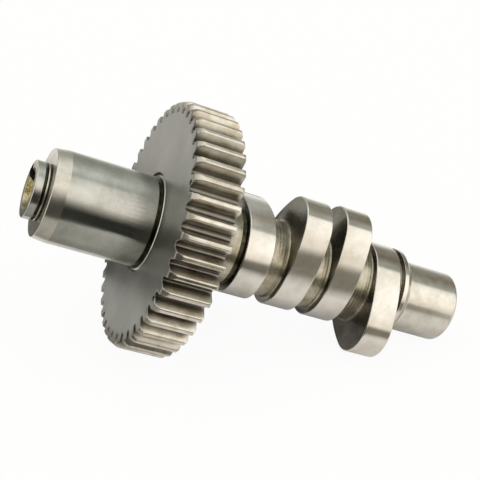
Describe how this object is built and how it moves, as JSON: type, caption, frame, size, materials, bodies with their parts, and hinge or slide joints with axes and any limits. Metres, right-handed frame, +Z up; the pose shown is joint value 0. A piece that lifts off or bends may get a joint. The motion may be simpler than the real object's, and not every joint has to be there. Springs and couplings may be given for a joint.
{
  "type": "camshaft",
  "caption": "Steel engine camshaft with cam lobes, a pressed-on spur timing gear, a long ground journal, a short rear journal and a tapped nose with a small keyway.",
  "frame": {"origin": "on the surface that the camshaft lies on, under the middle of its bounding box", "axes": "+Z up; the shaft lies along X, nose towards -X, and slopes down towards +X because it rests on two gear teeth and the rear journal's end"},
  "size_m": [0.129, 0.0698, 0.0701],
  "materials": {
    "ground_steel": "ground and polished",
    "gear_steel": "machined, satin",
    "key_steel": "plain"
  },
  "bodies": {
    "root": {"camshaft": "ground_steel", "timing_gear": "gear_steel", "gear_key": "key_steel"}
  },
  "joints": []
}
